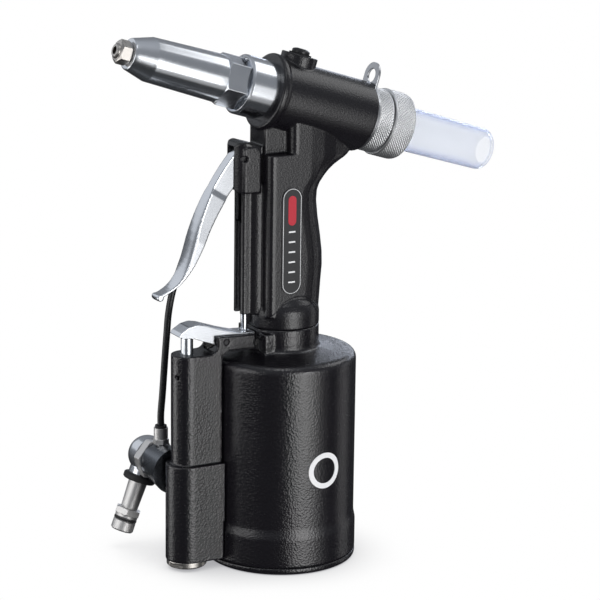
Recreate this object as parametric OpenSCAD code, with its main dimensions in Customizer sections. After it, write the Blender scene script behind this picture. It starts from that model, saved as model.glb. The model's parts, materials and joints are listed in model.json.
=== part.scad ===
// Pneumatic-hydraulic blind rivet gun.
// +Z runs up the axis of the air cylinder, the base face lies on z = 0 and the nose points to -X.

/* [Air cylinder] */
// Outer radius of the cylinder
cyl_r = 43; // [42.5:0.1:43.4]
// Wall thickness of the cylinder
cyl_wall = 3; // [2.5:0.1:3.2]
// Height of the cylinder's shoulder edge
cyl_shoulder_z = 123; // [122.5:0.1:123.5]
// Radius of the boss that carries the handle
boss_r = 21.3; // [21:0.1:21.6]
// Stroke of the air piston
air_stroke = 75; // [70:1:75]

/* [Grip] */
// Half of the grip's width across its flat sides
grip_half_w = 16.5; // [16.2:0.1:16.8]
// Front of the grip's wide part
grip_front_x = -17.8; // [-18.2:0.1:-17.6]
// Radius of the column in front of the grip
column_r = 8.6; // [8.4:0.1:8.8]
// Half of the slot that the trigger works in
trigger_slot_half = 4; // [3.95:0.05:4.2]

/* [Head] */
// Height at which the head's axis crosses the cylinder's axis
head_z = 269.4; // [268:0.1:271]
// Angle by which the nose points up
head_tilt = 17.16; // [17:0.01:17.3]
// Outer radius of the head barrel
barrel_r = 20.4; // [20.2:0.1:20.8]
// Bore radius of the head barrel
barrel_bore_r = 16; // [15.8:0.1:16.2]
// Travel of the pulling piston
head_stroke = 15; // [12:0.5:15]

/* [Nose] */
// Mandrel hole of the nosepiece, radius
nose_hole_r = 2.15; // [1.5:0.05:2.4]
// Nosepiece hexagon across flats
nose_af = 12; // [11:0.5:13]
// Lock nut hexagon across flats
nut_af = 26; // [25.5:0.1:26.5]

/* [Trigger and valve] */
// Distance of the valve axis in front of the cylinder axis
valve_x = -60.8; // [-61:0.1:-60.6]
// Radius of the valve column above its step
valve_upper_r = 9.1; // [9:0.1:9.3]
// Radius of the valve column below its step
valve_lower_r = 12.1; // [11.9:0.1:12.3]
// Sheet thickness of the trigger
trigger_wall = 1.5; // [1.3:0.1:1.6]

/* [Air inlet] */
// Height of the swivel axis
inlet_z = 54.2; // [54:0.1:54.6]
// Angle of the hanging inlet forward of straight down
inlet_lean = 21; // [0:1:40]
// Outer diameter of the air line
line_d = 4; // [3.8:0.1:4]

/* [Hidden] */
$fn = 96;
run = 0.05;                     // radial clearance of every running fit

BLACK = [0.10, 0.10, 0.11];
CHROME = [0.80, 0.82, 0.85];
NICKEL = [0.70, 0.69, 0.66];
ALLOY = [0.78, 0.79, 0.80];
STEEL = [0.55, 0.56, 0.58];
RUBBER = [0.06, 0.06, 0.06];
BRASS = [0.76, 0.66, 0.38];
CLEAR = [0.72, 0.80, 0.92, 0.45];

cyl_bore_r = cyl_r - cyl_wall;
cyl_roof_z = 112;               // inside of the cylinder's top
boss_foot_z = 126.6;
edge_r = 4.5;                   // rounding of the cylinder's top edge
boss_top_z = 138.7;
gland_r = 14;
base_cap_h = 4;
piston_z = 16;
piston_h = 12;
ram_r = 6.5;
bumper_z = piston_z + piston_h + air_stroke;

collar_front = -30.8;
barrel_front = -13.6;
barrel_rear = 51.6;
sleeve_front = -101.1;
nose_front = -109.6;
nut_front = -44.3;
nut_rear = -28;
case_front = -81;
case_rear = -36;
cap_front = 53;
cap_rear = 63.2;
ring_front = 64;
ring_rear = 78.5;
bottle_rear = 141.3;
rod_r = 7;
nut_thread_r = 12;
tube_r = 3.5;
draw_s = 14;                    // front face of the pulling piston at rest
piston_len = 8;
spigot_s = draw_s + piston_len + head_stroke + 8;   // the rear cap leaves room for the squashed spring
jaw_seat_r = 6.9;

trigger_pivot = [-29.2, 237.2];
pull_x = -24.6;
rocker_pivot = [-40, 133];
arm_half = 9.1;
valve_step_z = 63;
valve_top_z = 127;
valve_foot_z = 5.6;

swivel_y = 48;
line_points = [[-62.5, 30, 77], [-62.5, 30, 84], [-61.5, 30, 95], [-60.6, 30, 107], [-59.7, 30, 119],
    [-58.7, 30, 131], [-57.6, 30, 143], [-55.2, 30, 155], [-51.4, 30, 166], [-47, 30, 177],
    [-42, 30, 188], [-36.5, 30, 199], [-29, 30, 210], [-20, 30, 218.5], [-10, 30, 225.5],
    [0, 30, 233], [8, 30, 240.4], [12, 30, 244.4]];
upper_elbow = [20, 30, 252.4];
elbow_boss_y = 20.6;

// ---------- shared shapes ----------

// Places children on the head's axis: local +Z runs to the rear, local -X points up.
module on_head(s = 0) {
    translate([0, 0, head_z]) rotate([0, 90 + head_tilt, 0]) translate([0, 0, s]) children();
}

// Places children on an axis parallel to Y: local +Z runs to +Y.
module on_y(x, y, z) {
    translate([x, y, z]) rotate([-90, 0, 0]) children();
}

// A round bar or ring between two stations of the local Z axis.
module ring(z0, z1, r_out, r_in = 0) {
    translate([0, 0, z0]) difference() {
        cylinder(h = z1 - z0, r = r_out);
        if (r_in > 0) translate([0, 0, -1]) cylinder(h = z1 - z0 + 2, r = r_in);
    }
}

module o_ring(z, r_mid, wire_r) {
    translate([0, 0, z]) rotate_extrude() translate([r_mid, 0]) circle(r = wire_r, $fn = 24);
}

// A hexagonal bar with its corners turned off at both ends.
module hex_bar(z0, z1, af, chamfer = 1) {
    corner = af / 2 / cos(30);
    intersection() {
        translate([0, 0, z0]) cylinder(h = z1 - z0, r = corner, $fn = 6);
        rotate_extrude() polygon([[0, z0], [corner - chamfer, z0], [corner, z0 + chamfer * 0.6],
            [corner, z1 - chamfer * 0.6], [corner - chamfer, z1], [0, z1]]);
    }
}

// A flat shape drawn in X and Z, thick in Y.
module side_plate(y0, y1) {
    translate([0, y1, 0]) rotate([90, 0, 0]) linear_extrude(y1 - y0) children();
}

// A helical spring along local Z.
module coil(z0, z1, r_mid, wire_r, turns, steps = 16, sides = 6) {
    n = turns * steps;
    pts = [for (i = [0:n]) for (j = [0:sides - 1])
        let (a = 360 * i / steps, b = 360 * j / sides, r = r_mid + wire_r * cos(b))
        [r * cos(a), r * sin(a), z0 + wire_r + (z1 - z0 - 2 * wire_r) * i / n + wire_r * sin(b)]];
    tube_mesh(pts, n + 1, sides);
}

// Skin over rings of points that follow one another, with both ends closed.
module tube_mesh(pts, rings, sides) {
    last = (rings - 1) * sides;
    skin = [for (i = [0:rings - 2]) for (j = [0:sides - 1])
        let (a = i * sides + j, b = i * sides + (j + 1) % sides)
        each [[a, a + sides, b], [b, a + sides, b + sides]]];
    polyhedron(points = pts, faces = concat(skin,
        [[for (j = [0:sides - 1]) j]], [[for (j = [sides - 1:-1:0]) last + j]]));
}

function unit(v) = v / norm(v);

// ---------- nose ----------

module nosepiece() color(NICKEL) on_head() difference() {
    union() {
        rotate_extrude() polygon([[0, nose_front], [3.4, nose_front], [4.1, nose_front + 0.8],
            [4.4, nose_front + 2.2], [4.4, sleeve_front], [0, sleeve_front]]);
        hex_bar(nose_front + 1.6, sleeve_front, nose_af, 1.6);
        ring(sleeve_front, -86, 5);
        rotate_extrude() polygon([[0, -86], [4.2, -86], [3, case_front + 0.4], [0, case_front + 0.4]]);
    }
    translate([0, 0, nose_front - 1]) cylinder(h = 40, r = nose_hole_r);
}

module nose_sleeve() color(CHROME) on_head() difference() {
    rotate_extrude() polygon(concat([[0, sleeve_front]],
        [for (a = [0:15:75]) [8.1 + 0.9 * sin(a), sleeve_front + 0.9 - 0.9 * cos(a)]],
        [[12.1, -89.4], [12.4, -88.4], [13.5, nut_front - 0.4], [13.1, nut_front],
            [nut_thread_r, nut_front], [nut_thread_r, -18], [0, -18]]));
    translate([0, 0, sleeve_front - 1]) cylinder(h = 20, r = 5);
    translate([0, 0, -86]) cylinder(h = 80, r = 10.7);
}

module lock_nut() color(CHROME) on_head() rotate([0, 0, -14]) difference() {
    hex_bar(nut_front, nut_rear, nut_af, 1.6);
    translate([0, 0, nut_front - 1]) cylinder(h = 20, r = nut_thread_r);
}

module head_collar() color(CHROME) on_head() difference() {
    union() {
        rotate_extrude() polygon([[0, collar_front], [15.9, collar_front], [17, collar_front + 1.1],
            [17, barrel_front], [0, barrel_front]]);
        ring(barrel_front, -2, 15);
    }
    translate([0, 0, collar_front - 1]) cylinder(h = 1 + nut_rear - collar_front, r = 15.6);
    translate([0, 0, nut_rear - 1]) cylinder(h = 11, r = nut_thread_r);
    translate([0, 0, -20]) cylinder(h = 20, r = rod_r + run);
    o_ring(-8, rod_r + 1, 1.02);
}

module rod_seal() color(RUBBER) on_head() difference() {
    o_ring(-8, rod_r + 1, 1);
    translate([0, 0, -12]) cylinder(h = 8, r = rod_r + run);
}

// ---------- pulling unit inside the head ----------

module draw_piston() color(STEEL) on_head() difference() {
    union() {
        ring(draw_s, draw_s + piston_len, barrel_bore_r - run);
        ring(-45, draw_s, rod_r);
    }
    translate([0, 0, -46]) cylinder(h = 80, r = tube_r + run);
    o_ring(draw_s + piston_len / 2, barrel_bore_r - 0.85, 1.02);
}

module draw_piston_seal() color(RUBBER) on_head() intersection() {
    o_ring(draw_s + piston_len / 2, barrel_bore_r - 0.85, 0.98);
    ring(draw_s, draw_s + piston_len, barrel_bore_r - run);
}

module draw_return_spring() color(STEEL) on_head() coil(draw_s + piston_len + 0.1, spigot_s - 0.1, 12.5, 0.9, 5);

module jaw_case() color(STEEL) on_head() difference() {
    ring(case_front, case_rear, 10.5);
    rotate_extrude() polygon([[0, case_front - 1], [3.4, case_front - 1], [jaw_seat_r, -66],
        [rod_r, -65], [rod_r, case_rear + 1], [0, case_rear + 1]]);
}

// One of three wedges that grip the rivet's mandrel.
module jaw(turn) color(STEEL) on_head() rotate([0, 0, turn]) difference() {
    half_angle = 54;
    intersection() {
        rotate_extrude() polygon([[0, -79.6], [3.3, -79.6], [6.4, -67.2], [6.4, -66.5], [0, -66.5]]);
        rotate([0, 0, -half_angle]) translate([-10, 0.3, -85]) cube([20, 10, 30]);
        rotate([0, 0, half_angle]) translate([-10, -10.3, -85]) cube([20, 10, 30]);
    }
    translate([0, 0, -85]) cylinder(h = 30, r = 1.5);
}

module jaw_pusher() color(STEEL) on_head() difference() {
    union() {
        ring(-63.9, -56, rod_r - run);
        rotate_extrude() polygon([[0, -66.3], [4.6, -66.3], [6.4, -63.9], [0, -63.9]]);
    }
    translate([0, 0, -70]) cylinder(h = 20, r = 2.6);
}

module jaw_spring() color(STEEL) on_head() coil(-55.9, -45.1, 5, 0.6, 5);

module mandrel_tube() color(STEEL) on_head() ring(6, 76, tube_r, tube_r - 0.8);

// Flat on the neck and on the boss above it, which leaves room for the rocker's end and the rod's nut.
module rocker_relief() translate([-30, -7, 129]) cube([9.8, 14, 11.5]);

// ---------- handle casting ----------

// Stations of the grip: height, back x. The back swells into the palm and sweeps out under the head.
grip_back = [[146, 21.3], [150, 21.6], [163, 22.5], [172, 23.3], [180, 23.1], [190, 21.8], [201, 20],
    [210, 19], [216, 19.4], [220, 21], [224, 24], [227, 27.2], [229.6, 31], [231.7, 35], [233.4, 38.6],
    [235, 41], [239, 42]];

// Outline of the grip at one height: square front with round corners, elliptic back.
function grip_outline(z, front, back, half_w, corner = 4) =
    let (c = min(back - 16, 9), e = back - c)
    concat([for (a = [180:22.5:270]) [front + corner + corner * cos(a), -half_w + corner + corner * sin(a), z]],
        [for (a = [-90:15:90]) [c + e * cos(a), half_w * sin(a), z]],
        [for (a = [90:22.5:180]) [front + corner + corner * cos(a), half_w - corner + corner * sin(a), z]]);

module grip_loft() {
    rings = [for (p = grip_back) grip_outline(p[0], grip_front_x, p[1], grip_half_w)];
    tube_mesh([for (r = rings) each r], len(rings), len(rings[0]));
}

// Web between grip and head barrel, flush with the grip and set back from the trigger hood.
module head_web() {
    rings = [for (z = [236, 240, 246, 252, 258]) grip_outline(z, -3.5, 42, grip_half_w)];
    tube_mesh([for (r = rings) each r], len(rings), len(rings[0]));
}

module barrel() on_head() rotate_extrude() polygon(concat(
    [[0, barrel_front], [20.6, barrel_front]],
    [for (a = [0:30:90]) [20.6 + 1.2 * sin(a), barrel_front + 1.2 - 1.2 * cos(a)]],
    [[21.8, barrel_front + 3.4], [barrel_r, barrel_front + 5.4], [barrel_r, barrel_rear - 1],
        [barrel_r - 1, barrel_rear], [0, barrel_rear]]));

// Clevis that carries the trigger, with a hood that slopes back to the grip.
module trigger_bracket() {
    block_half = 9.2;
    intersection() {
        side_plate(-20, 20) polygon([[-34.8, 220.5], [-32.4, 217.6], [-19.6, 217.6], [-14, 225], [-5, 225],
            [-2, 239.5], [-8, 240], [-14, 242.4], [-22, 244.6], [-28, 246.4], [-32, 246], [-34.8, 243]]);
        union() {
            translate([-25.6, 0, 200]) cylinder(h = 60, r = block_half);
            translate([-25.6, -block_half, 200]) cube([6, 2 * block_half, 60]);
            translate([-22, -7, 200]) cube([24, 14, 60]);
        }
    }
    translate([-17, -block_half, 238]) cube([20, 2 * block_half, 22]);
    // raised pad around the trigger pin
    pad_half = block_half + 0.6;
    side_plate(-pad_half, pad_half) polygon([[-30, 218.4], [-29.4, 217.8], [-20, 217.8], [-19.4, 218.4],
        [-19.4, 240.6], [-22, 243.2], [-28.8, 243.6], [-30, 242.4]]);
}

// Column in front of the grip, with a cheek on each side of the pull rod's slot.
module rod_column() translate([0, 0, 147]) linear_extrude(75) {
    cheek_r = 1.6;
    cheek = [-27.2, 4.3];
    translate([-17.5, 0]) circle(r = column_r);
    for (side = [-1, 1]) translate([cheek[0], side * cheek[1]]) circle(r = cheek_r);
    translate([cheek[0], -cheek[1] - cheek_r]) square([10, 2 * (cheek[1] + cheek_r)]);
    translate([cheek[0] - cheek_r, -cheek[1]]) square([10, 2 * cheek[1]]);
}

module handle_body() color(BLACK) difference() {
    union() {
        grip_loft();
        head_web();
        barrel();
        trigger_bracket();
        rod_column();
        rotate_extrude() polygon(concat([[0, boss_top_z], [boss_r - 0.4, boss_top_z], [boss_r, boss_top_z + 0.4],
            [boss_r, 146]], [for (a = [15:15:90]) [boss_r - 13 + 13 * cos(a), 146 + 12 * sin(a)]], [[0, 158]]));
        ring(130, boss_top_z, gland_r);
        on_head(2.6) translate([-24.6, 0, 0]) rotate([0, 90, 0]) ring(0, 12, 10.4);
        on_y(upper_elbow[0], 0, upper_elbow[2]) ring(10, elbow_boss_y, 6.4);
    }
    rocker_relief();
    // oil chamber in the grip and the ram's passage
    translate([0, 0, 129]) cylinder(h = 122, r = 7.6);
    // cylinder of the pulling piston, and its threaded front
    on_head(-2) cylinder(h = 60, r = barrel_bore_r);
    on_head(-20) cylinder(h = 20, r = 15);
    // slot of the trigger, slot of the pull rod, trigger pin, oil plug
    translate([-40, -trigger_slot_half, 200]) cube([19.4, 2 * trigger_slot_half, 43.9]);
    translate([-22, -trigger_slot_half, 225]) cube([3, 2 * trigger_slot_half, 16]);
    translate([-40, -2.7, 120]) cube([18, 5.4, 112]);
    on_y(trigger_pivot[0], -20, trigger_pivot[1]) cylinder(h = 40, r = 1.5);
    on_head(2.6) translate([-30, 0, 0]) rotate([0, 90, 0]) cylinder(h = 20, r = 3);
    // thread and passage of the air line's upper fitting
    on_y(upper_elbow[0], 0, upper_elbow[2]) {
        translate([0, 0, 15]) cylinder(h = 9, r = 3);
        translate([0, 0, 8]) cylinder(h = 10, r = 1.2);
    }
}

module grip_badge() color(ALLOY) {
    side_plate(-grip_half_w - 0.5, -grip_half_w) {
        for (z = [165, 214]) translate([-3.4, z]) circle(r = 6.4);
        translate([-9.8, 165]) square([12.8, 49]);
    }
}

module oil_plug_washer() color(RUBBER) on_head(2.6) translate([-25.4, 0, 0]) rotate([0, 90, 0]) ring(0, 0.8, 6.4, 3);

module oil_plug_screw() color(BLACK) on_head(2.6) translate([-25.4, 0, 0]) rotate([0, -90, 0]) difference() {
    rotate_extrude() polygon(concat([[0, -11], [3, -11], [3, 0], [5.1, 0], [5.1, 1.2]],
        [for (a = [15:15:60]) [5.1 * cos(a) + 0.1, 1.2 + 1.7 * sin(a)]], [[0, 2.8]]));
    translate([0, 0, 1.2]) cylinder(h = 4, r = 1.9, $fn = 6);
}

// ---------- rear of the head ----------

module hanger_plate() color(STEEL) on_head() difference() {
    union() {
        ring(barrel_rear, cap_front, 18.6);
        translate([-24.4, 0, barrel_rear]) cylinder(h = cap_front - barrel_rear, r = 7.7);
        translate([-24.4, -7.7, barrel_rear]) cube([12, 15.4, cap_front - barrel_rear]);
    }
    translate([0, 0, 50]) cylinder(h = 5, r = barrel_bore_r);
    translate([-24.4, 0, 50]) cylinder(h = 5, r = 4);
}

module rear_cap() color(ALLOY) on_head() difference() {
    union() {
        ring(spigot_s, cap_front, barrel_bore_r);
        rotate_extrude() polygon([[0, cap_front], [18.1, cap_front], [18.6, cap_front + 0.5],
            [18.6, cap_rear - 0.5], [18.1, cap_rear], [0, cap_rear]]);
        ring(cap_rear, 72, 15);
    }
    translate([0, 0, 40]) cylinder(h = 40, r = tube_r);
    translate([0, 0, 60]) cylinder(h = 20, r = 11);
}

module collector_nut() color(ALLOY) on_head() difference() {
    rotate_extrude() polygon(concat([[0, ring_front], [19, ring_front], [19.6, ring_front + 0.6],
        [19.6, ring_rear - 2.4]], [for (a = [15:15:90]) [17.2 + 2.4 * cos(a), ring_rear - 2.4 + 2.4 * sin(a)]],
        [[0, ring_rear]]));
    translate([0, 0, ring_front - 1]) cylinder(h = 12.5, r = 15 + run);
    translate([0, 0, ring_front]) cylinder(h = 20, r = 13);
}

module mandrel_bottle() color(CLEAR) on_head() difference() {
    union() {
        ring(73.3, 75.5, 15);
        rotate_extrude() polygon(concat([[0, 73.3], [13, 73.3], [12.2, bottle_rear - 4]],
            [for (a = [15:15:90]) [8.2 + 4 * cos(a), bottle_rear - 4 + 4 * sin(a)]], [[0, bottle_rear]]));
    }
    rotate_extrude() polygon(concat([[0, 72], [11.8, 72], [11, bottle_rear - 4.6]],
        [for (a = [30:30:90]) [7.8 + 3.2 * cos(a), bottle_rear - 4.6 + 3.2 * sin(a)]], [[0, bottle_rear - 1.4]]));
}

// ---------- trigger linkage ----------

function bezier(p, t) = pow(1 - t, 3) * p[0] + 3 * t * pow(1 - t, 2) * p[1]
    + 3 * t * t * (1 - t) * p[2] + t * t * t * p[3];

// The trigger's front line runs down two curves from the hood to the turned-up tip.
upper_curve = [[-30, 243.2], [-44, 229], [-54, 211], [-59.2, 193]];
lower_curve = [[-59.2, 193], [-64.6, 174.3], [-66.6, 168], [-79.6, 163.4]];
front_line = concat([for (i = [0:12]) bezier(upper_curve, i / 12)], [for (i = [1:14]) bezier(lower_curve, i / 14)]);
front_n = len(front_line);
function front_dir(i) = unit(front_line[min(i + 1, front_n - 1)] - front_line[max(i - 1, 0)]);
// Depth of the side flanges, from deep at the pivot to nothing at the tip.
function flange_depth(t) = trigger_wall + 5.5 * (1 + cos(180 * min(1, t / 0.85)));
function inset(i, d) = front_line[i] + d * [-front_dir(i)[1], front_dir(i)[0]];

module trigger_profile(shell) polygon(concat(
    [for (i = [0:front_n - 1]) shell > 0 ? inset(i, shell) : front_line[i]],
    [for (i = [front_n - 1:-1:0]) inset(i, flange_depth(i / (front_n - 1)) + (shell > 0 ? 4 : 0))]));

// Half widths of the trigger at distances down from its pin: narrow in the clevis, wide under the fingers.
trigger_widths = [[-25, 3.7], [22.6, 3.7], [26, 4.6], [34, 5.3], [44, 6.1], [53, 7], [66, 6.9], [78, 5.7],
    [86, 4.5], [100, 4.2]];
module trigger_front(inset_y) {
    right = [for (w = trigger_widths) [w[1] - inset_y, -w[0]]];
    left = [for (i = [len(right) - 1:-1:0]) [-right[i][0], right[i][1]]];
    translate([trigger_pivot[0], 0, trigger_pivot[1]]) rotate([0, 32, 0]) translate([-60, 0, 0])
        rotate([90, 0, 90]) linear_extrude(120) polygon(concat(right, left));
}

module trigger() color(CHROME) difference() {
    union() {
        intersection() {
            side_plate(-8, 8) union() {
                trigger_profile(0);
                translate(trigger_pivot + [1.6, -1]) circle(r = 6.4);
            }
            trigger_front(0);
        }
        on_y(-79.4, -4.4, 161.9) cylinder(h = 8.8, r = 1.9);
    }
    intersection() {
        side_plate(-8, 8) union() {
            trigger_profile(trigger_wall);
            translate(trigger_pivot + [2.4, -5]) circle(r = 9);
        }
        trigger_front(trigger_wall - 0.05);
    }
    on_y(trigger_pivot[0], -8, trigger_pivot[1]) cylinder(h = 16, r = 1.5 + run);
    on_y(pull_x, -8, trigger_pivot[1]) cylinder(h = 16, r = 1.9);
}

module trigger_pin() color(STEEL) on_y(trigger_pivot[0], -7.2, trigger_pivot[1]) cylinder(h = 14.4, r = 1.5);

module pull_rod() color(CHROME) difference() {
    translate([pull_x, 0, 130.4]) cylinder(h = 108.8, r = 2);
    on_y(pull_x, -4, trigger_pivot[1]) cylinder(h = 8, r = 1.2);
}

module pull_rod_pin() color(STEEL) on_y(pull_x, -3.6, trigger_pivot[1]) cylinder(h = 7.2, r = 1.2);

module pull_rod_nut() color(STEEL) translate([pull_x, 0, 0]) difference() {
    hex_bar(130.6, 134.2, 6.4, 0.4);
    translate([0, 0, 120]) cylinder(h = 20, r = 2);
}

// Rocker: a bent channel that turns the rod's pull into a push on the valve stem.
module rocker() color(CHROME) difference() {
    half = 6;
    wall = 1.4;
    outer = [[-68.6, 138.6], [-67.4, 140.6], [-62.4, 143.6], [-57.4, 144.6], [-53, 143.8], [-40, 139.4],
        [-31, 136.9], [-20.8, 136.6]];
    under = [[-20.8, 132.6], [-32, 131], [-37.4, 128.8], [-42.4, 129], [-46.6, 132], [-54, 134.6],
        [-59, 136.6], [-66, 137.4]];
    side_plate(-half, half) polygon(concat(outer, under));
    side_plate(-half + wall, half - wall)
        polygon(concat([[-69, 137.2], [-67, 138.6], [-62, 141.9], [-57.4, 143.1], [-53.4, 142.4], [-40.4, 138],
            [-31.2, 135.5], [-20, 135.2]], [[-20, 120], [-69, 120]]));
    translate([pull_x, 0, 120]) cylinder(h = 30, r = 2.7);
    on_y(rocker_pivot[0], -8, rocker_pivot[1]) cylinder(h = 16, r = 1.5 + run);
}

module rocker_pin() color(STEEL) on_y(rocker_pivot[0], -8.2, rocker_pivot[1]) cylinder(h = 16.4, r = 1.5);

// ---------- air cylinder ----------

module air_cylinder() color(BLACK) difference() {
    union() {
        rotate_extrude() polygon(concat(
            [[0, base_cap_h], [cyl_r + 1, base_cap_h], [cyl_r + 1, 21.5], [cyl_r, 26.5]],
            [for (a = [0:15:90]) [cyl_r - edge_r + edge_r * cos(a), cyl_shoulder_z - edge_r + edge_r * sin(a)]],
            [[30, cyl_shoulder_z + 0.9], [23.4, cyl_shoulder_z + 1.9], [22, cyl_shoulder_z + 2.6], [boss_r, boss_foot_z + 0.6],
                [boss_r, boss_top_z - 0.4], [boss_r - 0.4, boss_top_z], [0, boss_top_z]]));
        // tongue that locates the valve housing, and the lug beside the neck
        translate([-50, -3.5, 20]) cube([10, 7, 88]);
        translate([-19.6, -16.6, 118]) cube([9, 33.2, 18.6]);
    }
    translate([0, 0, -1]) cylinder(h = cyl_roof_z + 1, r = cyl_bore_r);
    translate([0, 0, 100]) cylinder(h = 50, r = gland_r);
    rocker_relief();
    for (z = [34, 96]) on_y(-47, -10, z) cylinder(h = 20, r = 1.75);
    // air passage from the valve
    translate([-52, 0, 30]) rotate([0, 90, 0]) cylinder(h = 20, r = 2);
}

module base_cap() color(BLACK) difference() {
    rotate_extrude() polygon(concat([[0, 0]],
        [for (a = [0:18:90]) [cyl_r - 1 + 2 * sin(a), 2 - 2 * cos(a)]],
        [[cyl_r + 1, base_cap_h], [cyl_bore_r, base_cap_h], [cyl_bore_r, 13], [0, 13]]));
    translate([0, 0, 8]) cylinder(h = 10, r = 13);
    o_ring(9, cyl_bore_r - 0.8, 1.02);
    translate([0, 0, 4]) ring(5.6, 10, 36, 18);
}

module base_seal() color(RUBBER) intersection() {
    o_ring(9, cyl_bore_r - 0.8, 0.98);
    ring(6, 12, cyl_bore_r - 0.02);
}

module air_piston() color(ALLOY) difference() {
    ring(piston_z, piston_z + piston_h, cyl_bore_r - run, ram_r - 1.5);
    o_ring(piston_z + 6, cyl_bore_r - 0.95, 1.32);
    translate([0, 0, piston_z + 3]) ring(5, 10, 35, 13);
}

module air_piston_seal() color(RUBBER) intersection() {
    o_ring(piston_z + 6, cyl_bore_r - 0.95, 1.27);
    ring(piston_z, piston_z + piston_h, cyl_bore_r - run);
}

module ram_rod() color(CHROME) {
    ring(piston_z + piston_h, 145, ram_r);
    ring(9.4, piston_z + piston_h, ram_r - 1.5);
}

module ram_nut() color(STEEL) difference() {
    hex_bar(10.6, piston_z, 17, 1);
    cylinder(h = 20, r = ram_r - 1.5);
}

module ram_gland() color(STEEL) difference() {
    union() {
        ring(bumper_z + 4, cyl_roof_z, 19);
        ring(cyl_roof_z, 130, gland_r);
    }
    translate([0, 0, 90]) cylinder(h = 50, r = ram_r + run);
    o_ring(121, ram_r + 1, 1.02);
}

module ram_seal() color(RUBBER) difference() {
    o_ring(121, ram_r + 1, 1);
    translate([0, 0, 115]) cylinder(h = 12, r = ram_r + run);
}

module piston_bumper() color(RUBBER) ring(bumper_z + 0.4, bumper_z + 4, 18, 9);

// ---------- valve ----------

// Outline of the valve column: round at the front, flat-sided back to the cylinder.
module column_outline(r) {
    translate([valve_x, 0]) circle(r = r);
    translate([valve_x, -r]) square([20, 2 * r]);
}

module valve_housing() color(BLACK) difference() {
    union() {
        translate([0, 0, valve_foot_z]) linear_extrude(valve_step_z - valve_foot_z) column_outline(valve_lower_r);
        translate([0, 0, valve_step_z - 1]) linear_extrude(valve_top_z - valve_step_z + 1) intersection() {
            column_outline(valve_upper_r);
            translate([-100, -20]) square([60, 40]);
        }
        // arm over the cylinder's top
        side_plate(-arm_half, arm_half) difference() {
            polygon([[-51, 127], [-46, 133], [-45.8, 136.6], [-22, 135.8], [-22, 127.4], [-38.4, 128],
                [-43, 122], [-43, 110], [-51, 110]]);
            translate([-50.4, 131.6]) circle(r = 4.6);
            translate([-38.4, 122.6]) circle(r = 4.6);
        }
    }
    // gap to the cylinder and the slot for its tongue
    difference() {
        cylinder(h = 127, r = cyl_r + 0.9);
        translate([-60, -60, 126]) cube([120, 120, 20]);
    }
    ring(-1, 28, cyl_r + 1.6);
    translate([-50.05, -3.55, 19.9]) cube([12, 7.1, 88.2]);
    // between the ears
    translate([-60, -7, 127.6]) cube([50, 14, 20]);
    translate([-46.2, -7, 121.6]) cube([30, 14, 20]);
    on_y(rocker_pivot[0], -20, rocker_pivot[1]) cylinder(h = 40, r = 1.5);
    // valve bores
    translate([valve_x, 0, 0]) {
        translate([0, 0, 60]) cylinder(h = 80, r = 3.5 + run);
        translate([0, 0, 12]) cylinder(h = 52, r = 6.5);
        translate([0, 0, -1]) cylinder(h = 14, r = 8);
    }
    on_y(valve_x, 0, inlet_z) cylinder(h = 20, r = 5);
    translate([valve_x, 0, 30]) rotate([0, 90, 0]) cylinder(h = 20, r = 2);
    for (z = [34, 96]) on_y(-47, -6, z) {
        cylinder(h = 30, r = 1.75);
        translate([0, 0, 13]) cylinder(h = 10, r = 3.3);
    }
    // vent
    translate([-80, -4, 114.6]) rotate([0, 90, 0]) cylinder(h = 20, r = 1.2);
}

module housing_screws() color(STEEL) for (z = [34, 96]) on_y(-47, -5.5, z) difference() {
    union() {
        cylinder(h = 12.5, r = 1.75);
        translate([0, 0, 12.5]) cylinder(h = 2.6, r = 3.2);
    }
    translate([0, 0, 13.4]) cylinder(h = 3, r = 1.45, $fn = 6);
}

module valve_stem() color(CHROME) translate([valve_x, 0, 0]) rotate_extrude() polygon(concat(
    [[0, 60], [3.5, 60], [3.5, 139.4]], [for (a = [15:15:90]) [3.5 * cos(a), 139.4 + 2.2 * sin(a)]]));

module valve_spool() color(BRASS) translate([valve_x, 0, 0]) difference() {
    ring(44, 60, 6.5 - run);
    for (z = [47.4, 56.6]) o_ring(z, 5.7, 1.02);
    ring(49.6, 54.4, 8, 4.6);
}

module valve_seals() color(RUBBER) translate([valve_x, 0, 0]) for (z = [47.4, 56.6]) intersection() {
    o_ring(z, 5.7, 0.98);
    ring(40, 64, 6.5 - run);
}

module valve_spring() color(STEEL) translate([valve_x, 0, 0]) coil(17.1, 43.9, 4.6, 0.6, 8);

module valve_plug() color(NICKEL) translate([valve_x, 0, 0]) difference() {
    union() {
        rotate_extrude() polygon([[0, 1.8], [10.6, 1.8], [11.5, 2.7], [11.5, valve_foot_z], [0, valve_foot_z]]);
        ring(valve_foot_z, 12.6, 8);
        ring(12.6, 17, 5.6);
    }
    for (a = [0, 180]) rotate([0, 0, a + 30]) translate([10.6, -10, 0]) cube([5, 20, 4.6]);
    cylinder(h = 5, r = 3.5, $fn = 6);
}

// ---------- air inlet on the far side ----------

// Places children on the hanging inlet: local +Z runs outwards from the swivel.
module on_inlet() {
    translate([valve_x - 1.7, swivel_y, inlet_z]) rotate([0, 180 + inlet_lean, 0]) children();
}

inlet_x = valve_x - 1.7;

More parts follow.
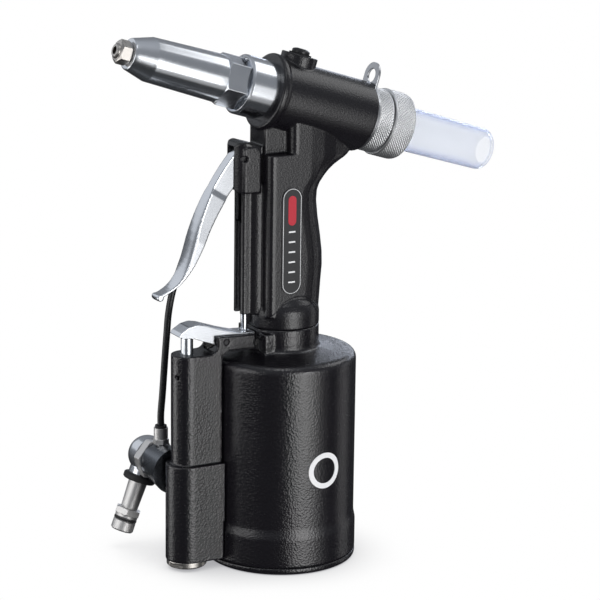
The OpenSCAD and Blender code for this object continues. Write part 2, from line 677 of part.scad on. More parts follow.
module inlet_adapter() color(STEEL) difference() {
    union() {
        on_y(inlet_x, 0, inlet_z) {
            rotate_extrude() polygon([[0, valve_lower_r], [13.4, valve_lower_r], [10.6, 35], [0, 35]]);
            ring(35, 52, 5);
        }
        on_y(valve_x, 0, inlet_z) ring(7.2, valve_lower_r, 5);
    }
    on_y(valve_x, 0, inlet_z) cylinder(h = 14, r = 3);
    on_y(inlet_x, 0, inlet_z) translate([0, 0, 12]) cylinder(h = 37, r = 3);
    translate([inlet_x, swivel_y, inlet_z - 6]) cylinder(h = 12, r = 2);
    translate([inlet_x, 30, inlet_z]) cylinder(h = 14, r = 2.6);
}

module inlet_hex() color(NICKEL) on_y(inlet_x, 0, inlet_z) rotate([0, 0, 10]) difference() {
    hex_bar(35, 41.4, 21.6, 1);
    translate([0, 0, 30]) cylinder(h = 20, r = 5);
}

module swivel_body() color(CHROME) difference() {
    union() {
        on_y(inlet_x, 0, inlet_z) {
            ring(41.7, 48, 11.3);
            translate([0, 0, 48]) intersection() {
                sphere(r = 11.3);
                cylinder(h = 7.4, r = 12);
            }
        }
        on_inlet() ring(0, 12.6, 7.4);
    }
    on_y(inlet_x, 0, inlet_z) translate([0, 0, 40]) cylinder(h = 12.4, r = 5 + run);
    on_inlet() cylinder(h = 14, r = 3);
    on_inlet() translate([0, 0, 8]) cylinder(h = 6, r = 4.2);
    on_y(inlet_x, 0, inlet_z) ring(43.4, 45.4, 7);
    // the branch stays clear of the hexagon behind it
    on_y(inlet_x, 0, inlet_z) ring(30, 41.7, 16);
}

module swivel_seal() color(RUBBER) on_y(inlet_x, 0, inlet_z) difference() {
    o_ring(44.4, 6, 1);
    translate([0, 0, 40]) cylinder(h = 10, r = 5 + run);
}

module swivel_washer() color(RUBBER) on_inlet() rotate_extrude() polygon([[4.2, 12.6], [8.8, 12.6], [9.6, 13.4],
    [9.6, 15.8], [8.8, 16.6], [4.2, 16.6]]);

module inlet_stem() color(NICKEL) on_inlet() difference() {
    union() {
        ring(8, 16.6, 4.2);
        rotate_extrude() polygon([[0, 16.6], [5.6, 16.6], [5, 33.6], [0, 33.6]]);
    }
    translate([0, 0, 7]) cylinder(h = 30, r = 2.6);
}

module coupler_plug() color(NICKEL) on_inlet() difference() {
    union() {
        hex_bar(33.6, 37.4, 14, 0.8);
        rotate_extrude() polygon([[0, 37.4], [6.7, 37.4], [6.7, 39], [6.2, 39.4], [6.2, 41], [6.7, 41.4],
            [6.7, 46.6], [6, 47.4], [0, 47.4]]);
    }
    translate([0, 0, 33]) cylinder(h = 16, r = 2.6);
}

module coupler_seal() color(RUBBER) on_inlet() ring(39.6, 40.8, 6.8, 6.2);

// ---------- air line to the head ----------

module line_fitting_lower() color(NICKEL) translate([inlet_x, 30, 0]) difference() {
    union() {
        ring(inlet_z + 6, 67, 2.6);
        rotate([0, 0, 20]) hex_bar(66, 69, 8.4, 0.5);
        ring(68, 75.6, 4.1);
    }
    translate([0, 0, inlet_z]) cylinder(h = 20, r = 1.4);
}

// Direction of the upper fitting's branch, back down the line.
upper_dir = unit(line_points[len(line_points) - 1] - upper_elbow);
module on_branch() {
    translate(upper_elbow) rotate([0, atan2(upper_dir[0], upper_dir[2]), 0]) children();
}
branch_len = norm(line_points[len(line_points) - 1] - upper_elbow);

module line_fitting_upper() color(NICKEL) {
    on_y(upper_elbow[0], 0, upper_elbow[2]) {
        ring(15, elbow_boss_y + 1, 3);
        rotate([0, 0, 15]) hex_bar(elbow_boss_y, 26, 9, 0.5);
        ring(25, 34, 4.2);
    }
    on_branch() ring(0, branch_len - 1.4, 4.1);
}

module line_collets() color(RUBBER) {
    translate([inlet_x, 30, 0]) ring(75.6, 77, 3.4);
    on_branch() ring(branch_len - 1.4, branch_len, 3.4);
}

// Tangent and ring of points of the line at one of its stations.
function line_tangent(i) = unit(line_points[min(i + 1, len(line_points) - 1)] - line_points[max(i - 1, 0)]);
module air_line() color(RUBBER) {
    sides = 10;
    pts = [for (i = [0:len(line_points) - 1]) for (j = [0:sides - 1])
        let (t = line_tangent(i), v = unit(cross(t, [0, 1, 0])), a = 360 * j / sides)
        line_points[i] + line_d / 2 * (cos(a) * [0, 1, 0] + sin(a) * v)];
    tube_mesh(pts, len(line_points), sides);
}

nosepiece();
nose_sleeve();
lock_nut();
head_collar();
rod_seal();
handle_body();
oil_plug_screw();
oil_plug_washer();
hanger_plate();
rear_cap();
mandrel_tube();
collector_nut();
mandrel_bottle();
draw_piston();
draw_piston_seal();
draw_return_spring();
jaw_case();
jaw(0);  // jaw_1
jaw(120);  // jaw_2
jaw(240);  // jaw_3
jaw_pusher();
jaw_spring();
grip_badge();
trigger();
trigger_pin();
pull_rod();
pull_rod_pin();
pull_rod_nut();
rocker();
rocker_pin();
air_cylinder();
base_cap();
base_seal();
air_piston();
air_piston_seal();
ram_rod();
ram_nut();
ram_gland();
ram_seal();
piston_bumper();
valve_housing();
housing_screws();
valve_stem();
valve_spool();
valve_seals();
valve_spring();
valve_plug();
inlet_adapter();
inlet_hex();
swivel_body();
swivel_seal();
swivel_washer();
inlet_stem();
coupler_plug();
coupler_seal();
line_fitting_lower();
line_fitting_upper();
line_collets();
air_line();
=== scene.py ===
"""Looks of the pneumatic rivet gun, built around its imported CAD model.

All lengths are metres in the CAD's frame unless a name or comment says otherwise.
"""

import json
import math

import bmesh
import bpy
import numpy as np
from mathutils import Matrix, Vector


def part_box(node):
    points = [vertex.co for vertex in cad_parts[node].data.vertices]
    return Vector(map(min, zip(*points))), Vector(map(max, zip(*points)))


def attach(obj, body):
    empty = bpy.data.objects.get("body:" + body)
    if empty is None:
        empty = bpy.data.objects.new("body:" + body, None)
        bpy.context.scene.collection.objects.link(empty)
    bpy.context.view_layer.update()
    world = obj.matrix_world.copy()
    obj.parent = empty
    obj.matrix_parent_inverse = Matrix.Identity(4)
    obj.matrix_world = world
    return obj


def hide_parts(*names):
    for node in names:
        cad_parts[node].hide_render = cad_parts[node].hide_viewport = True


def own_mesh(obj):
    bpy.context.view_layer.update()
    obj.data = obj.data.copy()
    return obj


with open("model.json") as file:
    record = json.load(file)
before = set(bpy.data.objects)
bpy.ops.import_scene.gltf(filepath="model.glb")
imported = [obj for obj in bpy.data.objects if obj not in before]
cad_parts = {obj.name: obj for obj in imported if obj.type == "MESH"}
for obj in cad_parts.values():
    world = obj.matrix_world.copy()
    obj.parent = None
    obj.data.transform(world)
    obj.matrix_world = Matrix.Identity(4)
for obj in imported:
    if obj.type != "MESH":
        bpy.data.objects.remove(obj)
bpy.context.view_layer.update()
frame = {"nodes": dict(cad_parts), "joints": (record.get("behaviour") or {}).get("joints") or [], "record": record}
MM = 0.001

RECORD = frame["record"]
NODE_BODY = {node: body for body, nodes in RECORD["behaviour"]["bodies"].items() for node in nodes}
NODE_SLOT = {part["node"]: part["material_slot"] for part in RECORD["subparts"]}
JOINT = {joint["name"]: joint for joint in frame["joints"]}


# ---------- axes of the tool ----------

def axis_frame(origin, along, across):
    """Matrix to the model's frame from one with +Z along the axis and +X nearest to `across`."""
    z = Vector(along).normalized()
    x = Vector(across)
    x = (x - z * x.dot(z)).normalized()
    y = z.cross(x)
    turn = Matrix((x, y, z)).transposed().to_4x4()
    return Matrix.Translation(Vector(origin)) @ turn


HEAD_ALONG = Vector(JOINT["puller_stroke"]["axis"])
# Where the head's axis crosses the cylinder's axis
HEAD_ORIGIN = (0, 0, 0.2694)
HEAD = axis_frame(HEAD_ORIGIN, HEAD_ALONG, (0, 0, 1))
VALVE_LOW, VALVE_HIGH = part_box("valve_stem")
VALVE = axis_frame(((VALVE_LOW.x + VALVE_HIGH.x) / 2, 0, 0), (0, 0, 1), (1, 0, 0))
SWIVEL_POINT = JOINT["inlet_swivel"]["pos_m"]
NIPPLE = next(mount for mount in RECORD["mounts"] if mount["name"] == "air_nipple")
INLET = axis_frame(SWIVEL_POINT, NIPPLE["axis"], (0, 1, 0))


# ---------- camera and studio ----------

CAMERA_TARGET = Vector((0.0118, 0.0, 0.150))
CAMERA_AZIMUTH = math.radians(-29.32)
CAMERA_ELEVATION = math.radians(14.21)
CAMERA_DISTANCE = 1.4374
CAMERA_ROLL = math.radians(0.76)
CAMERA_LENS = 150
SENSOR_WIDTH = 36

LAMP_DISTANCE = 1.6
PLAIN = (1, 1, 1)
COOL = (0.80, 0.86, 1.0)
FAINTLY_COOL = (0.92, 0.95, 1.0)
# Name, azimuths and elevations that the lamp fills in degrees, radiance, tint
LAMPS = [
    ("main_strip", (-10, 20), (-26, 10), 3.0, PLAIN),
    ("main_wing", (20, 36), (-28, 8), 0.65, PLAIN),
    ("main_core", (-4, 22), (0, 20), 1.2, PLAIN),
    ("main_apron", (-8, 38), (-46, -26), 0.3, PLAIN),
    ("left_strip", (-104, -66), (-8, 24), 1.4, PLAIN),
    ("left_glow", (-134, -104), (-24, -2), 2.0, PLAIN),
    ("upper_right_softbox", (66, 114), (28, 52), 1.5, PLAIN),
    ("low_back_softbox", (110, 148), (5, 17), 2.4, COOL),
    ("left_back_softbox", (-172, -132), (6, 44), 0.45, FAINTLY_COOL),
    ("right_strip", (78, 90), (-30, 12), 0.8, PLAIN),
    ("top_softbox", (-60, 0), (58, 80), 1.6, PLAIN),
]

FLOOR_RADIUS = 6.0
FLOOR_SEGMENTS = 96
SHADOW_REACH = 0.05
SHADOW_SAMPLES = 12
SHADOW_TONE = (0.36, 0.36, 0.38, 1)
# Share of open sky from which the floor is plain white
OPEN_SKY = 0.85
WHITE = (1, 1, 1, 1)

# Brightness of the room by elevation in degrees, and its tint
ROOM_LEVELS = [
    (-90, 0.18), (-75, 0.05), (-50, 0.03), (-28, 0.03), (-14, 0.04), (8, 0.20), (45, 0.25), (90, 0.40),
]
ROOM_TINT = (0.93, 0.98, 1.06)


def direction(azimuth, elevation):
    """Unit vector out from the object. Azimuth 0 is towards -Y, and a quarter turn is towards +X."""
    flat = math.cos(elevation)
    return Vector((math.sin(azimuth) * flat, -math.cos(azimuth) * flat, math.sin(elevation)))


def link(name, data):
    piece = bpy.data.objects.new(name, data)
    bpy.context.scene.collection.objects.link(piece)
    return piece


def add_camera():
    data = bpy.data.cameras.new("camera")
    data.lens = CAMERA_LENS
    data.sensor_width = SENSOR_WIDTH
    camera = link("camera", data)
    out = direction(CAMERA_AZIMUTH, CAMERA_ELEVATION)
    aim = (-out).to_track_quat("-Z", "Y").to_matrix().to_4x4()
    place = Matrix.Translation(CAMERA_TARGET + out * CAMERA_DISTANCE)
    camera.matrix_world = place @ aim @ Matrix.Rotation(CAMERA_ROLL, 4, "Z")
    bpy.context.scene.camera = camera


def add_lamp(name, azimuths, elevations, radiance, tint):
    """Soft lamp that fills these azimuths and elevations as seen from the tool. The camera never sees it."""
    azimuth = math.radians(sum(azimuths) / 2)
    elevation = math.radians(sum(elevations) / 2)
    half_turn = math.radians(azimuths[1] - azimuths[0]) / 2
    half_rise = math.radians(elevations[1] - elevations[0]) / 2
    width = 2 * LAMP_DISTANCE * math.tan(half_turn) * math.cos(elevation)
    height = 2 * LAMP_DISTANCE * math.tan(half_rise)
    data = bpy.data.lights.new(name, "AREA")
    data.shape = "RECTANGLE"
    data.size = width
    data.size_y = height
    data.energy = radiance * width * height * math.pi
    data.color = tint
    source = link(name, data)
    out = direction(azimuth, elevation)
    aim = (-out).to_track_quat("-Z", "Y").to_matrix().to_4x4()
    source.matrix_world = Matrix.Translation(CAMERA_TARGET + out * LAMP_DISTANCE) @ aim
    source.visible_camera = False


def add_lights():
    for name, azimuths, elevations, radiance, tint in LAMPS:
        add_lamp(name, azimuths, elevations, radiance, tint)


def add_floor():
    """White floor that shows only a soft contact shadow, and that neither lamps nor mirrors notice."""
    bm = bmesh.new()
    bmesh.ops.create_circle(bm, cap_ends=True, segments=FLOOR_SEGMENTS, radius=FLOOR_RADIUS)
    mesh = bpy.data.meshes.new("floor")
    bm.to_mesh(mesh)
    bm.free()
    floor = link("floor", mesh)
    material = bpy.data.materials.new("floor_paint")
    material.use_nodes = True
    nodes, links = material.node_tree.nodes, material.node_tree.links
    nodes.clear()
    output = nodes.new("ShaderNodeOutputMaterial")
    paint = nodes.new("ShaderNodeEmission")
    near = nodes.new("ShaderNodeAmbientOcclusion")
    near.samples = SHADOW_SAMPLES
    near.inputs["Distance"].default_value = SHADOW_REACH
    ramp = nodes.new("ShaderNodeValToRGB")
    darkest, lightest = ramp.color_ramp.elements
    darkest.position = 0.0
    darkest.color = SHADOW_TONE
    lightest.position = OPEN_SKY
    lightest.color = WHITE
    links.new(near.outputs["AO"], ramp.inputs["Fac"])
    links.new(ramp.outputs["Color"], paint.inputs["Color"])
    links.new(paint.outputs[0], output.inputs["Surface"])
    mesh.materials.append(material)
    floor.visible_glossy = False
    floor.visible_shadow = False


def add_world():
    """White surround for the camera, and a grey studio for mirrors: dark below the horizon, lighter above."""
    world = bpy.data.worlds.new("studio")
    bpy.context.scene.world = world
    world.use_nodes = True
    tree = world.node_tree
    tree.nodes.clear()
    output = tree.nodes.new("ShaderNodeOutputWorld")
    mix = tree.nodes.new("ShaderNodeMixShader")
    path = tree.nodes.new("ShaderNodeLightPath")
    either = tree.nodes.new("ShaderNodeMath")
    either.operation = "MAXIMUM"
    seen = tree.nodes.new("ShaderNodeBackground")
    seen.inputs["Color"].default_value = WHITE
    room = tree.nodes.new("ShaderNodeBackground")
    coordinates = tree.nodes.new("ShaderNodeTexCoord")
    split = tree.nodes.new("ShaderNodeSeparateXYZ")
    height = tree.nodes.new("ShaderNodeMapRange")
    height.inputs["From Min"].default_value = -1
    height.inputs["From Max"].default_value = 1
    ramp = tree.nodes.new("ShaderNodeValToRGB")
    ramp.color_ramp.elements[0].position = 0.0
    ramp.color_ramp.elements[1].position = 1.0
    for elevation, _ in ROOM_LEVELS[1:-1]:
        ramp.color_ramp.elements.new((math.sin(math.radians(elevation)) + 1) / 2)
    for element, (_, level) in zip(ramp.color_ramp.elements, ROOM_LEVELS):
        element.color = (*(level * share for share in ROOM_TINT), 1)
    tree.links.new(coordinates.outputs["Generated"], split.inputs[0])
    tree.links.new(split.outputs["Z"], height.inputs["Value"])
    tree.links.new(height.outputs["Result"], ramp.inputs["Fac"])
    tree.links.new(ramp.outputs["Color"], room.inputs["Color"])
    tree.links.new(path.outputs["Is Camera Ray"], either.inputs[0])
    tree.links.new(path.outputs["Is Transmission Ray"], either.inputs[1])
    tree.links.new(either.outputs[0], mix.inputs["Fac"])
    tree.links.new(room.outputs[0], mix.inputs[1])
    tree.links.new(seen.outputs[0], mix.inputs[2])
    tree.links.new(mix.outputs[0], output.inputs["Surface"])


# ---------- materials ----------

COAT_DARK = (0.0036, 0.0030, 0.0046)
COAT_LIGHT = tuple(c * 1.6 for c in COAT_DARK)


def surface(name, color, roughness=0.5, metallic=0.0, specular=0.5):
    material = bpy.data.materials.new(name)
    material.use_nodes = True
    shader = material.node_tree.nodes["Principled BSDF"]
    shader.inputs["Base Color"].default_value = (*color, 1)
    shader.inputs["Roughness"].default_value = roughness
    shader.inputs["Metallic"].default_value = metallic
    shader.inputs["Specular IOR Level"].default_value = specular
    return material


def shader_of(material):
    return material.node_tree.nodes["Principled BSDF"]


def texture(material, kind, scale, **settings):
    """A procedural texture on the piece's own coordinates; scale is in features per metre."""
    nodes, links = material.node_tree.nodes, material.node_tree.links
    coordinates = nodes.new("ShaderNodeTexCoord")
    made = nodes.new(kind)
    links.new(coordinates.outputs["Object"], made.inputs["Vector"])
    made.inputs["Scale"].default_value = scale
    for key, value in settings.items():
        made.inputs[key.title()].default_value = value
    return made


def noise(material, scale, **settings):
    """The value of a noise texture."""
    return texture(material, "ShaderNodeTexNoise", scale, **settings).outputs["Fac"]


def spread_roughness(material, source, low, high, low_in=0.0, high_in=1.0):
    """Sets the roughness by a texture's value, from low to high as the value goes from low_in to high_in."""
    ranged = material.node_tree.nodes.new("ShaderNodeMapRange")
    ranged.inputs["From Min"].default_value = low_in
    ranged.inputs["From Max"].default_value = high_in
    ranged.inputs["To Min"].default_value = low
    ranged.inputs["To Max"].default_value = high
    material.node_tree.links.new(source, ranged.inputs["Value"])
    material.node_tree.links.new(ranged.outputs["Result"], shader_of(material).inputs["Roughness"])


def spread_color(material, source, dark, light):
    """Colours the shader between two colours by a texture's value."""
    nodes, links = material.node_tree.nodes, material.node_tree.links
    mix = nodes.new("ShaderNodeMix")
    mix.data_type = "RGBA"
    factor = mix.inputs[0]
    first, second = (socket for socket in mix.inputs if socket.type == "RGBA")
    mixed = next(socket for socket in mix.outputs if socket.type == "RGBA")
    first.default_value = (*dark, 1)
    second.default_value = (*light, 1)
    links.new(source, factor)
    links.new(mixed, shader_of(material).inputs["Base Color"])


def bump(material, layers):
    """Chains bump layers of (texture value, strength, depth in metres) into the shader's normal."""
    nodes, links = material.node_tree.nodes, material.node_tree.links
    before = None
    for value, strength, depth in layers:
        node = nodes.new("ShaderNodeBump")
        node.inputs["Strength"].default_value = strength
        node.inputs["Distance"].default_value = depth
        links.new(value, node.inputs["Height"])
        if before:
            links.new(before, node.inputs["Normal"])
        before = node.outputs["Normal"]
    links.new(before, shader_of(material).inputs["Normal"])


def powder_coat(name, cell, depth, roughness, strength, specular):
    """Black textured powder coat: low rounded grains, `cell` across, with a finer peel on them."""
    peel_scale = 1.6 / cell
    peel_strength = strength * 0.5
    smoother, rougher = roughness - 0.06, roughness + 0.08
    cloud_scale = 45
    material = surface(name, COAT_DARK, roughness, specular=specular)
    grains = texture(material, "ShaderNodeTexVoronoi", 1 / cell).outputs["Distance"]
    peel = noise(material, peel_scale, detail=1.5, roughness=0.5)
    cloud = noise(material, cloud_scale, detail=2.0)
    bump(material, [(grains, strength, depth), (peel, peel_strength, depth)])
    spread_roughness(material, peel, smoother, rougher)
    spread_color(material, cloud, COAT_DARK, COAT_LIGHT)
    return material


def plated(name, color, roughness, smudge=0.05, grain=0.0):
    """Plated or machined metal with faint smudges, and a fine brushed grain of strength `grain`."""
    cloud_scale, cloud_low, cloud_high = 70, 0.3, 0.7
    shade = 0.93
    grain_scale, grain_depth = 900, 0.00002
    material = surface(name, color, roughness, metallic=1.0)
    cloud = noise(material, cloud_scale, detail=4.0, roughness=0.6)
    spread_roughness(material, cloud, roughness - smudge * 0.5, roughness + smudge, cloud_low, cloud_high)
    spread_color(material, cloud, tuple(c * shade for c in color), color)
    if grain:
        bump(material, [(noise(material, grain_scale, detail=2.0), grain, grain_depth)])
    return material


def grained(name, color, roughness, smoothest, roughest, scale, detail, strength):
    """A dull solid colour with a very fine grain."""
    depth = 0.00003
    material = surface(name, color, roughness)
    grain = noise(material, scale, detail=detail)
    bump(material, [(grain, strength, depth)])
    spread_roughness(material, grain, smoothest, roughest)
    return material


def rubber(name, color, roughness=0.6):
    smoothest, roughest = roughness - 0.08, roughness + 0.08
    return grained(name, color, roughness, smoothest, roughest, scale=1500, detail=3.0, strength=0.25)


def printed(name, color):
    return grained(name, color, 0.42, 0.36, 0.5, scale=1100, detail=2.0, strength=0.12)


def bottle_plastic():
    """Clear bluish plastic, deeper in colour where the wall is seen edge on."""
    edge_bias = 0.45
    face_until, edge_from = 0.30, 0.80
    material = surface("bottle_plastic", (0.86, 0.90, 0.98), 0.12)
    shader = shader_of(material)
    shader.inputs["Transmission Weight"].default_value = 0.82
    shader.inputs["IOR"].default_value = 1.25
    nodes, links = material.node_tree.nodes, material.node_tree.links
    facing = nodes.new("ShaderNodeLayerWeight")
    facing.inputs["Blend"].default_value = edge_bias
    ramp = nodes.new("ShaderNodeValToRGB")
    face, edge = ramp.color_ramp.elements
    face.position = face_until
    face.color = (0.93, 0.95, 0.99, 1)
    edge.position = edge_from
    edge.color = (0.42, 0.50, 0.78, 1)
    links.new(facing.outputs["Facing"], ramp.inputs["Fac"])
    links.new(ramp.outputs["Color"], shader.inputs["Base Color"])
    cloud = noise(material, 120, detail=2.0)
    spread_roughness(material, cloud, 0.08, 0.18)
    return material


def make_materials():
    """One material for each slot of the record."""
    return {
        "chrome": plated("chrome_plate", (0.88, 0.905, 0.945), 0.19, smudge=0.03),
        "nickel": plated("nickel_plate", (0.64, 0.61, 0.575), 0.27, smudge=0.10, grain=0.15),
        "satin_nickel": plated("satin_nickel_plate", (0.86, 0.845, 0.83), 0.46, smudge=0.06),
        "steel": plated("machined_steel", (0.56, 0.57, 0.59), 0.26, smudge=0.10, grain=0.25),
        "black_head": powder_coat(
            "fine_powder_coat", cell=0.0009, depth=0.00010, roughness=0.28, strength=0.75, specular=0.75),
        "black_cylinder": powder_coat(
            "pebbled_powder_coat", cell=0.0011, depth=0.00014, roughness=0.23, strength=0.85, specular=0.85),
        "black_screw": rubber("black_oxide", (0.016, 0.016, 0.018), 0.34),
        "knurled_alloy": plated("knurled_aluminium", (0.97, 0.975, 0.985), 0.34, smudge=0.08),
        "brass": plated("machined_brass", (0.72, 0.58, 0.32), 0.25),
        "rubber": rubber("black_rubber", (0.014, 0.014, 0.015)),
        "clear_bottle": bottle_plastic(),
        "badge": printed("badge_black", (0.020, 0.020, 0.022)),
        "badge_mark": printed("badge_red", (0.52, 0.008, 0.028)),
        "print_white": printed("print_white", (0.86, 0.86, 0.87)),
        "gunmetal": plated("gunmetal_plate", (0.20, 0.215, 0.24), 0.24, smudge=0.08),
        "line_nylon": rubber("nylon_line", (0.012, 0.013, 0.014), 0.28),
    }


# ---------- building pieces ----------

# Angles in degrees from which an edge is shaded sharp
SOFT_CREASE = 40
NO_CREASE = 180
MACHINED_CREASE = 32
TURNED_CREASE = 50
KNURL_CREASE = 70

# Distances within which vertices are merged
WELD = 1e-6
FINE_WELD = 1e-7
TURNED_WELD = 2e-7

# Share of the way to its neighbours' mean that a cast part's vertex moves in each round
RELAX_FACTOR = 0.5


def new_piece(name, verts, faces, slot, body):
    mesh = bpy.data.meshes.new(name)
    mesh.from_pydata([tuple(v) for v in verts], [], faces)
    mesh.validate()
    bm = bmesh.new()
    bm.from_mesh(mesh)
    bmesh.ops.recalc_face_normals(bm, faces=bm.faces)
    bm.to_mesh(mesh)
    bm.free()
    piece = link(name, mesh)
    return finish_piece(piece, slot, body)


def finish_piece(piece, slot, body, crease=SOFT_CREASE):
    """Gives a piece its material, smooth shading up to the crease angle in degrees, its body and its slot."""
    piece.data.materials.clear()
    piece.data.materials.append(MATERIALS[slot])
    shade(piece, crease)
    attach(piece, body)
    return piece


def shade(piece, crease):
    piece.data.shade_smooth()
    piece.data.set_sharp_from_angle(angle=math.radians(crease))


def node_copy(node, name):
    """A welded copy of a CAD node's mesh as a bmesh, without its imported normals."""
    bm = bmesh.new()
    bm.from_mesh(frame["nodes"][node].data)
    bmesh.ops.remove_doubles(bm, verts=bm.verts, dist=WELD)
    for layer in list(bm.loops.layers.uv):
        bm.loops.layers.uv.remove(layer)
    mesh = bpy.data.meshes.new(name)
    return bm, mesh


def object_from(bm, mesh, name):
    bm.to_mesh(mesh)
    bm.free()
    return link(name, mesh)


def apply_modifiers(piece):
    graph = bpy.context.evaluated_depsgraph_get()
    mesh = bpy.data.meshes.new_from_object(piece.evaluated_get(graph))
    piece.modifiers.clear()
    old = piece.data
    piece.data = mesh
    bpy.data.meshes.remove(old)


def cast(node, voxel, rounds, name):
    """A cast part: the CAD shape remeshed finely and relaxed, so that its edges get a soft radius."""
    bm, mesh = node_copy(node, name)
    piece = object_from(bm, mesh, name)
    remesh = piece.modifiers.new("remesh", "REMESH")
    remesh.mode = "VOXEL"
    remesh.voxel_size = voxel
    relax = piece.modifiers.new("relax", "SMOOTH")
    relax.factor = RELAX_FACTOR
    relax.iterations = rounds
    apply_modifiers(piece)
    finish_piece(piece, NODE_SLOT[node], NODE_BODY[node], NO_CREASE)
    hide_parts(node)
    return piece


def machined(node, edge, segments=2):
    """A machined part: the CAD shape with its sharp edges broken by a small rounded chamfer."""
    flat_angle = math.radians(0.4)
    sharp_angle = math.radians(MACHINED_CREASE)
    name = node + "_part"
    bm, mesh = node_copy(node, name)
    bmesh.ops.dissolve_limit(bm, angle_limit=flat_angle, verts=bm.verts, edges=bm.edges)
    sharp = [e for e in bm.edges if len(e.link_faces) == 2 and e.calc_face_angle(0) > sharp_angle]
    bmesh.ops.bevel(
        bm, geom=sharp, offset=edge, segments=segments, profile=0.6, affect="EDGES", clamp_overlap=True)
    bmesh.ops.remove_doubles(bm, verts=bm.verts, dist=FINE_WELD)
    piece = object_from(bm, mesh, name)
    finish_piece(piece, NODE_SLOT[node], NODE_BODY[node], MACHINED_CREASE)
    weigh = piece.modifiers.new("weighted_normals", "WEIGHTED_NORMAL")
    weigh.keep_sharp = True
    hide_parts(node)


def ring_outline(node, place):
    """Outline of a turned CAD node as (along, radius) points, and whether it closes, read from its mesh."""
    near = 8e-6
    mesh = frame["nodes"][node].data
    back = place.inverted()
    local = [back @ v.co for v in mesh.vertices]
    points = np.array([(p.z, math.hypot(p.x, p.y)) for p in local])

    def same(a, b):
        return abs(a[0] - b[0]) < near and abs(a[1] - b[1]) < near

    centres, owner = [], []
    for point in points:
        found = next((i for i, centre in enumerate(centres) if same(centre, point)), None)
        if found is None:
            centres.append(point)
            found = len(centres) - 1
        owner.append(found)
    links = {}
    for edge in mesh.edges:
        a, b = (owner[i] for i in edge.vertices)
        if a != b:
            links.setdefault(a, set()).add(b)
            links.setdefault(b, set()).add(a)
    ends = [k for k, v in links.items() if len(v) == 1]
    start = ends[0] if ends else min(links)
    path, previous = [start], None
    while True:
        step = [k for k in links[path[-1]] if k != previous and k not in path]
        if not step:
            break
        previous = path[-1]
        path.append(step[0])
    if len(path) != len(links):
        raise ValueError(f"{node} is not a plain turned shape")
    return [tuple(centres[k]) for k in path], not ends


def rounded(points, closed, radius):
    """The outline with each corner replaced by a small arc, which takes at most a share of each side."""
    steps, share = 4, 0.4
    least_turn, least_side = math.radians(12), 1e-6
    count = len(points)
    result = []
    for i, point in enumerate(points):
        if not closed and i in (0, count - 1):
            result.append(point)
            continue
        p = Vector(point)
        a = Vector(points[i - 1]) - p
        b = Vector(points[(i + 1) % count]) - p
        turn = a.angle(-b)
        if turn < least_turn or min(a.length, b.length) < least_side:
            result.append(point)
            continue
        trim = min(radius * math.tan(turn / 2), share * a.length, share * b.length)
        first, last = p + a.normalized() * trim, p + b.normalized() * trim
        for k in range(steps + 1):
            t = k / steps
            q = first * (1 - t) ** 2 + p * 2 * t * (1 - t) + last * t * t
            result.append((q.x, q.y))
    return result


def ring_faces(count, around, closed):
    """Faces between neighbouring copies of a section of `count` points, set around an axis."""
    faces = []
    for j in range(around):
        k = (j + 1) % around
        for i in range(count if closed else count - 1):
            n = (i + 1) % count
            faces.append((j * count + i, j * count + n, k * count + n, k * count + i))
    return faces


def lathe(name, outline, closed, place, slot, body, around, wave=None):
    """Turns (along, radius) points about the local Z axis; wave may change the radius at a point."""
    verts = []
    for j in range(around):
        angle = 2 * math.pi * j / around
        for along, radius in outline:
            r = wave(along, radius, j) if wave else radius
            verts.append(place @ Vector((r * math.cos(angle), r * math.sin(angle), along)))
    piece = new_piece(name, verts, ring_faces(len(outline), around, closed), slot, body)
    bm = bmesh.new()
    bm.from_mesh(piece.data)
    bmesh.ops.remove_doubles(bm, verts=bm.verts, dist=TURNED_WELD)
    bmesh.ops.recalc_face_normals(bm, faces=bm.faces)
    bm.to_mesh(piece.data)
    bm.free()
    shade(piece, TURNED_CREASE)
    return piece


def turned(node, place, edge, around):
    """A turned part: the CAD outline with its corners rounded, spun finely."""
    outline, closed = ring_outline(node, place)
    profile = rounded(outline, closed, edge)
    piece = lathe(node + "_part", profile, closed, place, NODE_SLOT[node], NODE_BODY[node], around)
    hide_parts(node)


def knurled(node, place, low, high, count, edge):
    """A turned ring with `count` knurl grooves each way on its outer face, between stations low and high."""
    depth = 0.0008
    sharpness = 2.2
    per_groove = 6
    # Longest stretch of the outline, in steps, that isn't divided
    longest = 1.5
    # Share of the outer radius above which a point is on the outer face, and above which it is knurled
    outer_share, knurl_share = 0.9, 0.85
    outline, closed = ring_outline(node, place)
    outline = rounded(outline, closed, edge)
    outer = max(r for _, r in outline)
    step = 2 * math.pi * outer / (count * per_groove)
    dense = []
    for i, (along, radius) in enumerate(outline):
        dense.append((along, radius))
        if not closed and i == len(outline) - 1:
            continue
        next_along, next_radius = outline[(i + 1) % len(outline)]
        both_outer = min(radius, next_radius) > outer * outer_share
        span = math.hypot(next_along - along, next_radius - radius)
        if both_outer and span > step * longest:
            parts = round(span / step)
            dense += [(along + (next_along - along) * k / parts, radius + (next_radius - radius) * k / parts)
                      for k in range(1, parts)]

    def wave(along, radius, j):
        if not low < along < high or radius < outer * knurl_share:
            return radius
        row = (along - low) / step
        groove_a = abs(((row + j) / per_groove) % 1.0 - 0.5) * 2
        groove_b = abs(((row - j) / per_groove) % 1.0 - 0.5) * 2
        fade = min(1.0, (along - low) / (2 * step), (high - along) / (2 * step))
        return radius - depth * fade * max(groove_a, groove_b) ** sharpness

    around = count * per_groove
    piece = lathe(node + "_knurl", dense, closed, place, NODE_SLOT[node], NODE_BODY[node], around, wave)
    piece.data.set_sharp_from_angle(angle=math.radians(KNURL_CREASE))
    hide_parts(node)


